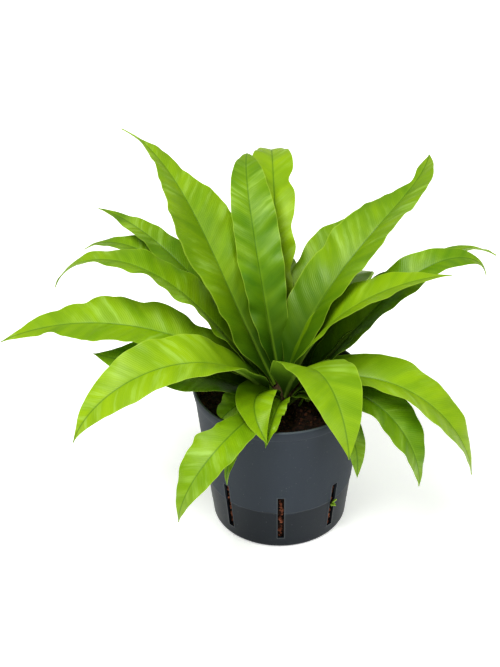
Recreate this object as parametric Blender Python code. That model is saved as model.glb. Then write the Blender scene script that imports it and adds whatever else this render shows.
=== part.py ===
"""Potted fern: a bird's nest fern (Asplenium) growing in a slotted plastic pot.

The pot's axis is Z and its underside is z = 0. The fronds rise from a crown just in front of the axis,
and -Y is the front. Lengths below are millimetres and angles are degrees; MM turns them into metres.
An azimuth is measured from +X towards +Y, so -90 is the front.
"""

import math
from collections import namedtuple

import bmesh
import bpy
import numpy as np
from mathutils import Matrix

MM = 0.001
GAP = 0.3

# Pot: a tapered cup with a collar at the rim, a slightly smaller foot band and upright slots round the foot.
POT_HEIGHT = 118
POT_TOP_RADIUS = 64.3
POT_FOOT_RADIUS = 51
POT_WALL = 1.5
POT_FLOOR = 2
POT_SEGMENTS = 64
FOOT_ROUND = 2.5
FOOT_BAND_HEIGHT = 36
FOOT_BAND_INSET = 0.4
COLLAR_HEIGHT = 8.5
COLLAR_PROUD = 0.7
SLOT_COUNT = 8
SLOT_WIDTH = 4.8
SLOT_BOTTOM = 10
SLOT_TOP = 52
SLOT_DEPTH = 8
FRONT = -90

# Substrate: the pot's filling, a little below the rim, with a crumbly top.
SOIL_HEIGHT = 108
SOIL_RINGS = 7
SOIL_SEGMENTS = 32
CRUMB_HEIGHT = 1

# Crown: the rhizome that the fronds grow from, as (radius, height) up its side.
CROWN_X, CROWN_Y = 1, -8
CROWN_SIDE = ((9.5, 110), (9, 111.5), (6.5, 114.5), (4, 118), (2, 121))
CROWN_SEGMENTS = 20

# Fronds: each blade is a bent, folded sheet that is thicker along its midrib.
BLADE = 0.7
MIDRIB = 2
ROWS = 16
CELLS = 4
STALK_HALF_WIDTH = 1.2
STALK_FLARE = 4.2
FLATTENING = 0.75

# Croziers: young fronds that are still rolled up.
CROZIER_RADIUS = 1
CROZIER_STEM = 9
CROZIER_TURN = 2.6
CROZIER_LEAN = 25

# Seedling: a sprout that has come up through a slot in the pot.
SEEDLING_HEIGHT = 31
SEEDLING_LENGTH = 9
SEEDLING_WIDTH = 3.4

Frond = namedtuple("Frond", "name ring azimuth length width climb turn roll fold peak taper neck")


def frond(name, ring, azimuth, length, width, climb, turn, roll, fold, peak=0.5, taper=1.2, neck=0.2):
    """One frond's design.

    ring is where it leaves the crown: distance from the crown's axis, height and azimuth.
    climb is the midrib's angle above level at its base and at its tip, and how late it bends between them.
    turn is how far the midrib swings sideways by its tip, first by an even sway and then by a last hook.
    roll is the blade's lean about the midrib half way along, and how much more it twists by the tip.
    fold is the angle of each half of the blade at the base, and it flattens towards the tip.
    peak is where the blade is widest, taper how fast it narrows from there to the tip, and neck its width
    at the base as a share of the full width.
    """
    return Frond(name, ring, azimuth, length, width, climb, turn, roll, fold, peak, taper, neck)


FRONDS = (
    # Upright fronds in the middle.
    frond("frond_tall_left", (5.5, 119, 165), 153, 226, 62, (62, 8, 3.5), (-32, 25), (5, 20), 30,
          taper=2.1),
    frond("frond_tall_centre", (4, 122, 110), 124, 192, 38, (70, -15, 2.5), (-38, 0), (0, 0), 30,
          peak=0.55, taper=1.0),
    frond("frond_tall_back", (7, 117, 80), 95, 218, 40, (60, -45, 3), (-5, 0), (0, 0), 35, peak=0.6,
          taper=0.7),
    frond("frond_tall_right", (4.5, 121, 10), 33, 217, 54, (80, 8, 0.8), (0, 46), (-8, -15), 30,
          taper=1.0),
    # Fronds that arch to the right.
    frond("frond_back_right", (9, 115, 50), 78, 166, 34, (60, -15, 2), (-45, 0), (0, 0), 35),
    frond("frond_right_inner", (7, 117, -25), -10, 165, 44, (80, 4, 1), (12, 0), (0, -10), 30),
    frond("frond_right_upper", (9, 115, 24), 24, 196, 40, (42, -40, 3.5), (0, -10), (-10, -10), 30,
          peak=0.6),
    frond("frond_right_middle", (11, 112, 0), 8, 194, 36, (50, -80, 4.5), (10, 0), (10, 5), 30),
    frond("frond_right_broad", (10, 113, -30), -18, 182, 48, (56, -82, 0.9), (0, 0), (0, 0), 30),
    frond("frond_right_drooping", (12, 111, -50), -24, 150, 42, (60, -90, 0.9), (-16, 0), (0, 0), 30),
    # Fronds that arch to the left.
    frond("frond_back_left", (8.5, 116, 130), 153, 195, 32, (52, -5, 2), (-12, 0), (0, 0), 30),
    frond("frond_left_upper", (11, 112, 150), 155, 196, 34, (53, -42, 2.5), (-10, 10), (0, 0), 30),
    frond("frond_left_middle", (8.5, 116, 175), 170, 213, 36, (54, -74, 3), (0, 0), (0, 10), 30),
    frond("frond_left_broad", (10, 114, 195), 180, 215, 48, (58, -22, 0.8), (-10, 20), (-10, 5), 25,
          peak=0.55),
    frond("frond_left_front", (10, 114, 218), 222, 202, 48, (56, -70, 1.5), (-25, 0), (-10, -15), 30,
          taper=1.3),
    frond("frond_left_low", (12.5, 110.5, 178), 195, 135, 56, (35, 5, 1), (-10, -25), (-10, -5), 25),
    # Fronds that fold over the front of the pot.
    frond("frond_front_right", (9, 115, -70), -60, 154, 50, (70, -75, 1.4), (-16, 0), (-10, 5), 20),
    frond("frond_front_left", (12, 113, 246), 250, 144, 34, (24, -85, 1.5), (-42, 0), (-10, 10), 20),
    frond("frond_front_small", (9, 115, 262), 210, 80, 30, (52, -45, 1), (100, 0), (0, 0), 30),
    frond("frond_front_low", (12.5, 111, 246), 242, 96, 14, (22, -100, 2), (0, 0), (0, 0), 10),
    frond("frond_front_young", (12.5, 111, -82), -100, 66, 17, (56, -52, 1), (-10, 0), (5, 0), 35),
    frond("frond_right_young", (12.5, 111, -64), -45, 110, 22, (60, -100, 1), (0, -50), (0, 0), 25),
    frond("frond_left_young", (10.5, 112, 219), 219, 50, 30, (38, -25, 1), (5, 0), (10, 0), 30),
    # Fronds low at the back.
    frond("frond_low_back_right", (12, 111, 48), 60, 185, 40, (50, -60, 1.2), (10, 0), (5, 5), 35),
    frond("frond_low_back", (12, 111, 88), 92, 175, 42, (52, -65, 1.3), (5, 0), (-5, 0), 35),
    frond("frond_low_back_left", (12, 111, 118), 124, 180, 40, (48, -55, 1.2), (-5, 0), (0, -5), 35),
)


def direction(pitch, azimuth):
    """Unit vectors from a climb and an azimuth in radians."""
    return np.stack([np.cos(pitch) * np.cos(azimuth), np.cos(pitch) * np.sin(azimuth), np.sin(pitch)], -1)


def climb_angle(design, s):
    """The midrib's angle above level: its bend from base to tip grows as s to the power of its lateness."""
    base, tip, late = design.climb
    return np.radians(base + (tip - base) * s**late)


def heading_angle(design, s):
    """The midrib's heading: the sway grows evenly along it, and the hook as the fourth power of s."""
    sway, hook = design.turn
    return np.radians(design.azimuth + sway * s + hook * s**4)


def roll_angle(design, s):
    """The blade's roll about its midrib: the lean, less the twist at the base and plus it at the tip."""
    lean, twist = design.roll
    return np.radians(lean + twist * (2 * s - 1))


def fold_angle(design, s):
    """How far each half of the blade folds up: full at the base, less along a straight line to the tip."""
    return np.radians(design.fold * (1 - FLATTENING * s))


def half_width(design, s):
    """A strap leaf's half width: a stalk that flares, a quarter sine up to its peak, then a rounded fall."""
    rise = design.neck + (1 - design.neck) * np.sin(np.pi / 2 * np.minimum(s / design.peak, 1))
    fall = (1 - np.clip((s - design.peak) / (1 - design.peak), 0, 1) ** 2) ** design.taper
    blade = design.width / 2 * np.maximum(rise * fall, 0.03)
    return np.minimum(blade, STALK_HALF_WIDTH + design.width / 2 * STALK_FLARE * s**2)


def frond_sheet(design):
    """The frond's middle surface as a grid of points, rows along the midrib by cells across."""
    s = np.linspace(0, 1, ROWS + 1)
    pitch = climb_angle(design, s)
    heading = heading_angle(design, s)
    along = direction(pitch, heading)
    steps = (along[1:] + along[:-1]) / 2 * design.length / ROWS
    out, height, turn = design.ring
    turn = math.radians(turn)
    start = [CROWN_X + out * math.cos(turn), CROWN_Y + out * math.sin(turn), height]
    midrib = start + np.vstack([np.zeros(3), np.cumsum(steps, 0)])

    side = np.stack([-np.sin(heading), np.cos(heading), np.zeros_like(heading)], -1)
    up = np.cross(along, side)
    roll = roll_angle(design, s)[:, None]
    side, up = side * np.cos(roll) + up * np.sin(roll), up * np.cos(roll) - side * np.sin(roll)

    across = np.linspace(-1, 1, CELLS + 1)
    cup = fold_angle(design, s)[:, None]
    reach = half_width(design, s)[:, None] * across
    sideways = (reach * np.cos(cup))[..., None] * side[:, None]
    upwards = (np.abs(reach) * np.sin(cup))[..., None] * up[:, None]
    return midrib[:, None] + sideways + upwards


def material(name, colour, roughness):
    made = bpy.data.materials.new(name)
    made.use_nodes = True
    shader = made.node_tree.nodes["Principled BSDF"]
    shader.inputs["Base Color"].default_value = (*colour, 1)
    shader.inputs["Roughness"].default_value = roughness
    shader.inputs["Metallic"].default_value = 0
    return made


def add_object(name, mesh, finish):
    made = bpy.data.objects.new(name, mesh)
    bpy.context.scene.collection.objects.link(made)
    made.data.materials.append(finish)
    return made


def mesh_from(name, points, faces):
    """A mesh with its faces turned outwards, from points in millimetres."""
    mesh = bpy.data.meshes.new(name)
    mesh.from_pydata((np.asarray(points, float) * MM).tolist(), [], faces)
    shape = bmesh.new()
    shape.from_mesh(mesh)
    bmesh.ops.recalc_face_normals(shape, faces=shape.faces)
    shape.to_mesh(mesh)
    shape.free()
    return mesh


def smooth(made, angle=40):
    made.data.shade_smooth()
    made.data.set_sharp_from_angle(angle=math.radians(angle))


def turned(name, profile, segments, finish):
    """A solid of revolution about Z, from an open profile of (radius, height) whose ends are on the axis."""
    shape = bmesh.new()
    corners = [shape.verts.new((radius * MM, 0, height * MM)) for radius, height in profile]
    edges = [shape.edges.new(pair) for pair in zip(corners, corners[1:])]
    bmesh.ops.spin(shape, geom=corners + edges, cent=(0, 0, 0), axis=(0, 0, 1),
                   angle=2 * math.pi, steps=segments, use_merge=True)
    bmesh.ops.remove_doubles(shape, verts=shape.verts, dist=0.01 * MM)
    bmesh.ops.recalc_face_normals(shape, faces=shape.faces)
    mesh = bpy.data.meshes.new(name)
    shape.to_mesh(mesh)
    shape.free()
    made = add_object(name, mesh, finish)
    smooth(made)
    return made


def wall_radius(height):
    """The pot's outer radius below the collar and above the foot band."""
    return POT_FOOT_RADIUS + (POT_TOP_RADIUS - POT_FOOT_RADIUS) * height / POT_HEIGHT


def add_pot(finish):
    band_top = wall_radius(FOOT_BAND_HEIGHT)
    collar = wall_radius(POT_HEIGHT) + COLLAR_PROUD
    under_collar = POT_HEIGHT - COLLAR_HEIGHT
    inside = [
        (0, POT_FLOOR),
        (POT_FOOT_RADIUS - POT_WALL - FOOT_ROUND, POT_FLOOR),
        (wall_radius(POT_FLOOR + FOOT_ROUND) - POT_WALL - FOOT_BAND_INSET, POT_FLOOR + FOOT_ROUND),
        (band_top - POT_WALL - FOOT_BAND_INSET, FOOT_BAND_HEIGHT),
        (wall_radius(POT_HEIGHT) - POT_WALL, POT_HEIGHT - 0.5),
        (wall_radius(POT_HEIGHT) - POT_WALL + 0.5, POT_HEIGHT),
    ]
    outside = [
        (collar - 0.7, POT_HEIGHT),
        (collar, POT_HEIGHT - 0.7),
        (collar - 0.3, under_collar + 0.3),
        (wall_radius(under_collar), under_collar - 0.4),
        (band_top, FOOT_BAND_HEIGHT),
        (band_top - FOOT_BAND_INSET, FOOT_BAND_HEIGHT - 0.4),
        (wall_radius(FOOT_ROUND) - FOOT_BAND_INSET, FOOT_ROUND),
    ]
    for step in (1, 2, 3):
        turn = math.radians(30 * step)
        centre = POT_FOOT_RADIUS - FOOT_BAND_INSET - FOOT_ROUND
        outside.append((centre + FOOT_ROUND * math.cos(turn), FOOT_ROUND - FOOT_ROUND * math.sin(turn)))
    pot = turned("pot", [*inside, *outside, (0, 0)], POT_SEGMENTS, finish)

    slots = bmesh.new()
    for number in range(SLOT_COUNT):
        turn = math.radians(FRONT + number * 360 / SLOT_COUNT)
        middle = wall_radius((SLOT_BOTTOM + SLOT_TOP) / 2)
        block = bmesh.ops.create_cube(slots, size=MM)["verts"]
        bmesh.ops.scale(slots, vec=(2 * SLOT_DEPTH, SLOT_WIDTH, SLOT_TOP - SLOT_BOTTOM), verts=block)
        bmesh.ops.translate(slots, vec=(middle * MM, 0, (SLOT_BOTTOM + SLOT_TOP) / 2 * MM), verts=block)
        bmesh.ops.rotate(slots, cent=(0, 0, 0), matrix=Matrix.Rotation(turn, 3, "Z"), verts=block)
    mesh = bpy.data.meshes.new("slot_cutter")
    slots.to_mesh(mesh)
    slots.free()
    cutter = add_object("slot_cutter", mesh, finish)
    cutter.hide_render = True
    cutter.display_type = "WIRE"
    cut = pot.modifiers.new("slots", "BOOLEAN")
    cut.operation = "DIFFERENCE"
    cut.object = cutter


def soil_top(x, y):
    """The height of the substrate's crumbly top."""
    lumps = np.sin(x / 4.1 + 1.3 * np.sin(y / 6.3)) * np.cos(y / 4.7 + 1.1 * np.sin(x / 5.9))
    return SOIL_HEIGHT + CRUMB_HEIGHT * (lumps - 0.5)


def add_substrate(finish):
    """Rings of points from the middle of the top to its edge, then down the pot's inside to the floor."""
    turns = np.linspace(0, 2 * np.pi, SOIL_SEGMENTS, endpoint=False)
    circle = np.stack([np.cos(turns), np.sin(turns)], -1)
    edge = wall_radius(SOIL_HEIGHT) - POT_WALL - FOOT_BAND_INSET - 2 * GAP
    rings = []
    for radius in np.linspace(edge / SOIL_RINGS, edge, SOIL_RINGS):
        flat = circle * radius
        rings.append(np.column_stack([flat, soil_top(flat[:, 0], flat[:, 1])]))
    floor = POT_FLOOR + GAP
    band = wall_radius(FOOT_BAND_HEIGHT) - POT_WALL - FOOT_BAND_INSET - 2 * GAP
    foot = wall_radius(floor + FOOT_ROUND) - POT_WALL - FOOT_BAND_INSET - 2 * GAP
    for radius, height in ((band, FOOT_BAND_HEIGHT), (foot, floor + FOOT_ROUND), (foot - FOOT_ROUND - 1, floor)):
        rings.append(np.column_stack([circle * radius, np.full(SOIL_SEGMENTS, height)]))
    points = np.concatenate([[[0, 0, float(soil_top(0, 0))]], *rings, [[0, 0, floor]]])

    faces = []
    last = len(points) - 1
    for k in range(SOIL_SEGMENTS):
        after = (k + 1) % SOIL_SEGMENTS
        faces.append((0, 1 + k, 1 + after))
        for ring in range(len(rings) - 1):
            here = 1 + ring * SOIL_SEGMENTS
            below = here + SOIL_SEGMENTS
            faces.append((here + k, below + k, below + after, here + after))
        bottom = last - SOIL_SEGMENTS
        faces.append((bottom + k, last, bottom + after))
    made = add_object("substrate", mesh_from("substrate", points, faces), finish)
    smooth(made)


def add_crown(finish):
    foot = SOIL_HEIGHT + CRUMB_HEIGHT / 2 + GAP
    top = CROWN_SIDE[-1][1] + 1
    crown = turned("crown", [(0, top), *reversed(CROWN_SIDE), (CROWN_SIDE[0][0], foot), (0, foot)],
                   CROWN_SEGMENTS, finish)
    crown.location = (CROWN_X * MM, CROWN_Y * MM, 0)


def add_frond(design, finish):
    """A sheet of faces made solid, thicker along the midrib."""
    grid = frond_sheet(design)
    across = CELLS + 1
    corners = np.arange(grid.shape[0] * across).reshape(-1, across)
    faces = np.stack([corners[:-1, :-1], corners[1:, :-1], corners[1:, 1:], corners[:-1, 1:]], -1).reshape(-1, 4)
    mesh = bpy.data.meshes.new(design.name)
    mesh.from_pydata((grid.reshape(-1, 3) * MM).tolist(), [], faces.tolist())
    made = add_object(design.name, mesh, finish)
    s = np.linspace(0, 1, ROWS + 1)
    rib = made.vertex_groups.new(name="midrib")
    for row, corner in enumerate(corners[:, CELLS // 2]):
        share = BLADE + (MIDRIB - BLADE) * (1 - s[row])
        rib.add([int(corner)], share / MIDRIB, "REPLACE")
    edges = np.delete(corners, CELLS // 2, axis=1)
    rib.add(edges.ravel().tolist(), BLADE / MIDRIB, "REPLACE")
    solid = made.modifiers.new("thickness", "SOLIDIFY")
    solid.thickness = MIDRIB * MM
    solid.offset = 1
    solid.vertex_group = rib.name
    solid.thickness_vertex_group = 0
    smooth(made)


def crozier_path(start, azimuth):
    """A leaning stem that ends in a flat spiral, like a bishop's staff."""
    lean = math.radians(CROZIER_LEAN)
    heading = math.radians(azimuth)
    out = np.array([math.cos(heading), math.sin(heading), 0])
    rise = np.array([0, 0, 1])
    stem = [CROZIER_STEM * t * (math.sin(lean) * out + math.cos(lean) * rise) for t in (0, 0.35, 0.7, 1)]
    turns = np.linspace(0, 1.35 * np.pi, 12)[1:]
    curl = []
    for turn in turns:
        radius = CROZIER_TURN * (1 - 0.28 * turn / np.pi)
        angle = turn + lean
        offset = radius * (math.sin(angle) * rise - math.cos(angle) * out)
        centre = stem[-1] + CROZIER_TURN * (math.cos(lean) * out - math.sin(lean) * rise)
        curl.append(centre + offset)
    return np.array(start) + np.array(stem + curl)


def add_crozier(name, start, azimuth, finish):
    route = crozier_path(start, azimuth) * MM
    data = bpy.data.curves.new(name, "CURVE")
    data.dimensions = "3D"
    data.bevel_depth = CROZIER_RADIUS * MM
    data.bevel_resolution = 2
    data.use_fill_caps = True
    spline = data.splines.new("POLY")
    spline.points.add(len(route) - 1)
    for point, place in zip(spline.points, route):
        point.co = (*place, 1)
    add_object(name, data, finish)


def add_seedling(finish):
    """A small pointed leaf that leans out of a slot."""
    turn = math.radians(FRONT + 360 / SLOT_COUNT)
    out = np.array([math.cos(turn), math.sin(turn), 0])
    aside = np.array([-math.sin(turn), math.cos(turn), 0])
    root = out * (wall_radius(SEEDLING_HEIGHT) - POT_WALL / 2) + [0, 0, SEEDLING_HEIGHT]
    tip = root + out * 2 + [0, 0, SEEDLING_LENGTH]
    middle = (root + tip) / 2 + out * 1.4
    half = aside * SEEDLING_WIDTH / 2
    thick = out * BLADE / 2
    points = [root - thick, root + thick, middle - half, middle + half, middle - thick, middle + thick, tip]
    faces = [(0, 2, 1), (1, 3, 0), (1, 2, 5), (1, 5, 3), (0, 4, 2), (0, 3, 4), (2, 6, 5), (5, 6, 3),
             (2, 4, 6), (4, 3, 6)]
    add_object("slot_seedling", mesh_from("slot_seedling", points, faces), finish)


def clear_scene():
    for old in list(bpy.data.objects):
        bpy.data.objects.remove(old)


def main():
    clear_scene()
    add_pot(material("pot_plastic", (0.055, 0.066, 0.082), 0.5))
    add_substrate(material("substrate_mix", (0.055, 0.025, 0.012), 0.95))
    add_crown(material("crown_scales", (0.06, 0.05, 0.015), 0.8))
    leaf = material("frond_green", (0.16, 0.4, 0.02), 0.4)
    for design in FRONDS:
        add_frond(design, leaf)
    young = material("young_green", (0.25, 0.5, 0.05), 0.5)
    add_crozier("crozier_front", (14, -19, SOIL_HEIGHT + 1), -20, young)
    add_crozier("crozier_right", (19, -13, SOIL_HEIGHT + 1), 15, young)
    add_seedling(young)


main()
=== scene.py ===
"""The looks of the potted bird's nest fern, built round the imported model.

The pot's axis is Z, its underside is z = 0 and the plant's front is -Y. Shapes are worked out in millimetres
and turned into metres when their mesh is made. Angles are degrees, and azimuths run from +X towards +Y.
"""

import math
from collections import namedtuple

import bmesh
import bpy
import numpy as np
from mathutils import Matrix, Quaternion, Vector


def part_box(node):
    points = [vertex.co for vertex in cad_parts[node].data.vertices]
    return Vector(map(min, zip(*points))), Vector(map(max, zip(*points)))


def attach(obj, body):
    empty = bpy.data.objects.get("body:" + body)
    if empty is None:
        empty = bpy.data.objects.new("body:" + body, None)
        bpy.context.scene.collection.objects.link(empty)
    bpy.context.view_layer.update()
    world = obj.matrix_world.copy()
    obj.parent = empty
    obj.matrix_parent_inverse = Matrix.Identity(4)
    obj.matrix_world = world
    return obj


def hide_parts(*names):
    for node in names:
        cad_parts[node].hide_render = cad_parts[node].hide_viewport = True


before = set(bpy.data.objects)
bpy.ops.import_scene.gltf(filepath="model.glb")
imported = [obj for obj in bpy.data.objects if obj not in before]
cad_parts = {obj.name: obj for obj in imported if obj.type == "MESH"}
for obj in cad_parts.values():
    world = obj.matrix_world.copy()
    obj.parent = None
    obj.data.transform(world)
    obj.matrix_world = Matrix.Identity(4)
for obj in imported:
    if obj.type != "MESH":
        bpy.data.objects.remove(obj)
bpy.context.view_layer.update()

MM = 0.001
PLANT = "root"


# ---------------------------------------------------------------------------------------------------------
# Camera
# ---------------------------------------------------------------------------------------------------------

LOOK_DOWN = 34
CAMERA_DISTANCE = 1.3
CAMERA_TARGET = (-0.0216, 0, 0.1605)
CAMERA_LENS = 96.3
CAMERA_ROLL = -0.01


def add_camera():
    """A long lens in front of the plant, looking down at it."""
    slope = math.radians(LOOK_DOWN)
    data = bpy.data.cameras.new("camera")
    data.lens = CAMERA_LENS
    data.sensor_width = 36
    data.clip_end = 20
    camera = bpy.data.objects.new("camera", data)
    x, y, z = CAMERA_TARGET
    camera.location = (x, y - CAMERA_DISTANCE * math.cos(slope), z + CAMERA_DISTANCE * math.sin(slope))
    camera.rotation_mode = "ZXY"
    camera.rotation_euler = (math.pi / 2 - slope, 0, 0)
    camera.rotation_mode = "QUATERNION"
    camera.rotation_quaternion = camera.rotation_quaternion @ turn_about_view(CAMERA_ROLL)
    bpy.context.scene.collection.objects.link(camera)
    bpy.context.scene.camera = camera


def turn_about_view(angle):
    """A small turn about the camera's own line of sight, as a quaternion."""
    return Quaternion((0, 0, 1), angle)


# ---------------------------------------------------------------------------------------------------------
# Shader arithmetic
# ---------------------------------------------------------------------------------------------------------


class Value:
    """A number from a shader node. Python's arithmetic on it adds Math nodes."""

    def __init__(self, paint, socket):
        self.paint = paint
        self.socket = socket

    def maths(self, operation, *others, clamp=False):
        settings = {"operation": operation, "use_clamp": clamp}
        return self.paint.node("ShaderNodeMath", settings, {0: self, **dict(enumerate(others, 1))})

    def turned_round(self, operation, first):
        return self.paint.node("ShaderNodeMath", {"operation": operation}, {0: first, 1: self})

    def __add__(self, other):
        return self.maths("ADD", other)

    __radd__ = __add__

    def __sub__(self, other):
        return self.maths("SUBTRACT", other)

    def __rsub__(self, other):
        return self.turned_round("SUBTRACT", other)

    def __mul__(self, other):
        return self.maths("MULTIPLY", other)

    __rmul__ = __mul__

    def __truediv__(self, other):
        return self.maths("DIVIDE", other)

    def __pow__(self, other):
        return self.maths("POWER", other)

    def sine(self):
        return self.maths("SINE")

    def size(self):
        return self.maths("ABSOLUTE")

    def ramp(self, low, high):
        """0 up to low, 1 from high on, and a smooth slope between. With low above high it falls instead."""
        falls = low > high
        sockets = {"Value": self, "From Min": min(low, high), "From Max": max(low, high)}
        if falls:
            sockets.update({"To Min": 1, "To Max": 0})
        return self.paint.node("ShaderNodeMapRange", {"interpolation_type": "SMOOTHSTEP"}, sockets, "Result")


class Paint:
    """A material with one Principled shader."""

    def __init__(self, name, **settings):
        self.material = bpy.data.materials.new(name)
        self.material.use_nodes = True
        self.tree = self.material.node_tree
        self.shader = self.tree.nodes["Principled BSDF"]
        for socket, value in settings.items():
            self.shader.inputs[socket.replace("_", " ")].default_value = value

    def feed(self, socket, value):
        """Puts a number, a colour or another node's output into a socket."""
        if isinstance(value, Value):
            self.tree.links.new(value.socket, socket)
        elif isinstance(value, tuple) and len(value) == 3 and len(socket.default_value) == 4:
            socket.default_value = (*value, 1)
        else:
            socket.default_value = value

    def node(self, kind, settings, sockets, output=0):
        """A node of any type: its settings first, then its sockets' values or links."""
        made = self.tree.nodes.new(kind)
        for name, value in settings.items():
            if name == "stops":
                self.set_stops(made.color_ramp, value)
            else:
                setattr(made, name, value)
        for name, value in sockets.items():
            self.feed(made.inputs[name], value)
        return Value(self, made.outputs[output])

    @staticmethod
    def set_stops(ramp, stops):
        while len(ramp.elements) < len(stops):
            ramp.elements.new(1)
        for element, (place, colour) in zip(ramp.elements, stops):
            element.position = place
            element.color = (*colour, 1)

    def place(self):
        return self.node("ShaderNodeTexCoord", {}, {}, "Object")

    def field(self, name):
        """The three numbers of a piece's own attribute."""
        vector = self.node("ShaderNodeAttribute", {"attribute_name": name}, {}, "Vector")
        return [self.node("ShaderNodeSeparateXYZ", {}, {"Vector": vector}, axis) for axis in "XYZ"]

    def vector(self, x, y, z):
        return self.node("ShaderNodeCombineXYZ", {}, {"X": x, "Y": y, "Z": z})

    def noise(self, scale, detail=3, roughness=0.5, vector=None, stretch=None):
        """Cloudy noise from about 0.3 to 0.7, with scale in lumps per metre of the vector."""
        vector = vector or self.place()
        if stretch:
            vector = self.node("ShaderNodeMapping", {}, {"Vector": vector, "Scale": stretch})
        sockets = {"Vector": vector, "Scale": scale, "Detail": detail, "Roughness": roughness}
        return self.node("ShaderNodeTexNoise", {}, sockets, "Fac")

    def mix(self, share, first, second):
        sockets = {"Factor": share, "A": first, "B": second}
        made = self.tree.nodes.new("ShaderNodeMix")
        made.data_type = "RGBA"
        colours = {"Factor": made.inputs[0], "A": made.inputs[6], "B": made.inputs[7]}
        for name, value in sockets.items():
            self.feed(colours[name], value)
        return Value(self, made.outputs[2])

    def ramp_colour(self, share, stops):
        return self.node("ShaderNodeValToRGB", {"stops": stops}, {"Fac": share}, "Color")

    def brighter(self, colour, share):
        """The colour times a number, kept a colour."""
        grey = self.node("ShaderNodeCombineColor", {}, {"Red": share, "Green": share, "Blue": share})
        made = self.tree.nodes.new("ShaderNodeMix")
        made.data_type = "RGBA"
        made.blend_type = "MULTIPLY"
        made.inputs[0].default_value = 1
        self.feed(made.inputs[6], colour)
        self.feed(made.inputs[7], grey)
        return Value(self, made.outputs[2])

    def bump(self, height, distance, strength=1.0):
        """Roughens the surface by a height of 0 to 1 times a distance in metres."""
        sockets = {"Height": height, "Distance": distance, "Strength": strength}
        self.feed(self.shader.inputs["Normal"], self.node("ShaderNodeBump", {}, sockets, "Normal"))

    def colour(self, value):
        self.feed(self.shader.inputs["Base Color"], value)

    def roughness(self, value):
        self.feed(self.shader.inputs["Roughness"], value)


# ---------------------------------------------------------------------------------------------------------
# Materials
# ---------------------------------------------------------------------------------------------------------

VEIN_SPACING = 1.7
VEIN_SLANT = 0.7


def leaf_paint(name, bright, deep, margin):
    """A fern blade. Its vein field holds the distances along and across it in millimetres and its side, and
    its leaf field the share of its length, the share of its half width and the frond's tint, which is partly
    painted light."""
    paint = Paint(name, Specular_IOR_Level=0.25)
    along, across, side = paint.field("vein")
    length, half, tint = paint.field("leaf")
    reach = across.size()

    # Side veins leave the midrib at a slant and run straight to the margin.
    drift = paint.noise(120, detail=2)
    slant = along - reach * VEIN_SLANT + drift * 3
    veins = ((slant * (2 * math.pi / VEIN_SPACING)).sine() * 0.5 + 0.5) ** 3
    # The soft bands along the side veins are painted shade of the folds there; they also feed the bump.
    bands = paint.noise(1, detail=2, vector=paint.vector(slant * 0.09, across * 0.02, tint * 29))
    clouds = paint.noise(22, detail=3)

    # Each frond's tint is partly its own green and partly painted light: lighter for a frond lit through from
    # behind, deeper for one in another frond's shade.
    shade = bands.ramp(0.3, 0.7) * 0.25 + clouds.ramp(0.32, 0.68) * 0.25 + tint * 0.5
    colour = paint.mix(shade, deep, bright)
    colour = paint.brighter(colour, 1.02 - veins * 0.05 * half.ramp(0.02, 0.12))

    # A painted sheen: pale streaks along the side veins over the middle of the blade stand in for the glossy
    # leaf's reflection of the light.
    sheen_streaks = paint.noise(1, detail=3, vector=paint.vector(slant * 0.22, across * 0.03, tint * 25 + 3))
    painted_sheen = sheen_streaks.ramp(0.45, 0.72) * clouds.ramp(0.4, 0.62) * length.ramp(0.3, 0.5)
    colour = paint.mix(painted_sheen * 0.4, colour, (0.4, 0.6, 0.14))

    # The foot of the blade is darker, partly its own deeper green and partly painted shade where the fronds
    # crowd round the crown, and its tip a little yellower.
    foot = length.ramp(0.5, 0.03)
    colour = paint.mix(foot * 0.9, colour, (0.01, 0.06, 0.001))
    tip = length.ramp(0.86, 1.0)
    colour = paint.mix(tip * 0.35, colour, (0.3, 0.42, 0.01))

    # The midrib is a dark thread between soft pale sides above, and a pale ridge below.
    upper = side.ramp(-0.5, 0.5)
    pale = reach.ramp(2.4, 0.9)
    colour = paint.mix(pale * (0.25 + foot * 0.35), colour, (0.2, 0.33, 0.02))
    thread = reach.ramp(0.85, 0.2)
    colour = paint.mix(thread * upper * (0.5 - foot * 0.3), colour, (0.04, 0.13, 0.004))
    under = paint.brighter(colour, 1.1)
    under = paint.mix(0.2, under, (0.2, 0.38, 0.04))
    under = paint.mix(reach.ramp(2.0, 0.8) * 0.5, under, (0.28, 0.4, 0.06))
    colour = paint.mix(upper, under, colour)

    # The margin is a thin pale line.
    colour = paint.mix(half.ramp(0.955, 0.995) * 0.6, colour, margin)
    paint.colour(colour)

    paint.roughness(0.34 + clouds * 0.14 + (1 - upper) * 0.14)
    grain = paint.noise(900, detail=2)
    paint.bump(veins * 0.45 + grain * 0.5 + bands * 0.8, 0.0003, 0.4)
    return paint.material


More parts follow.
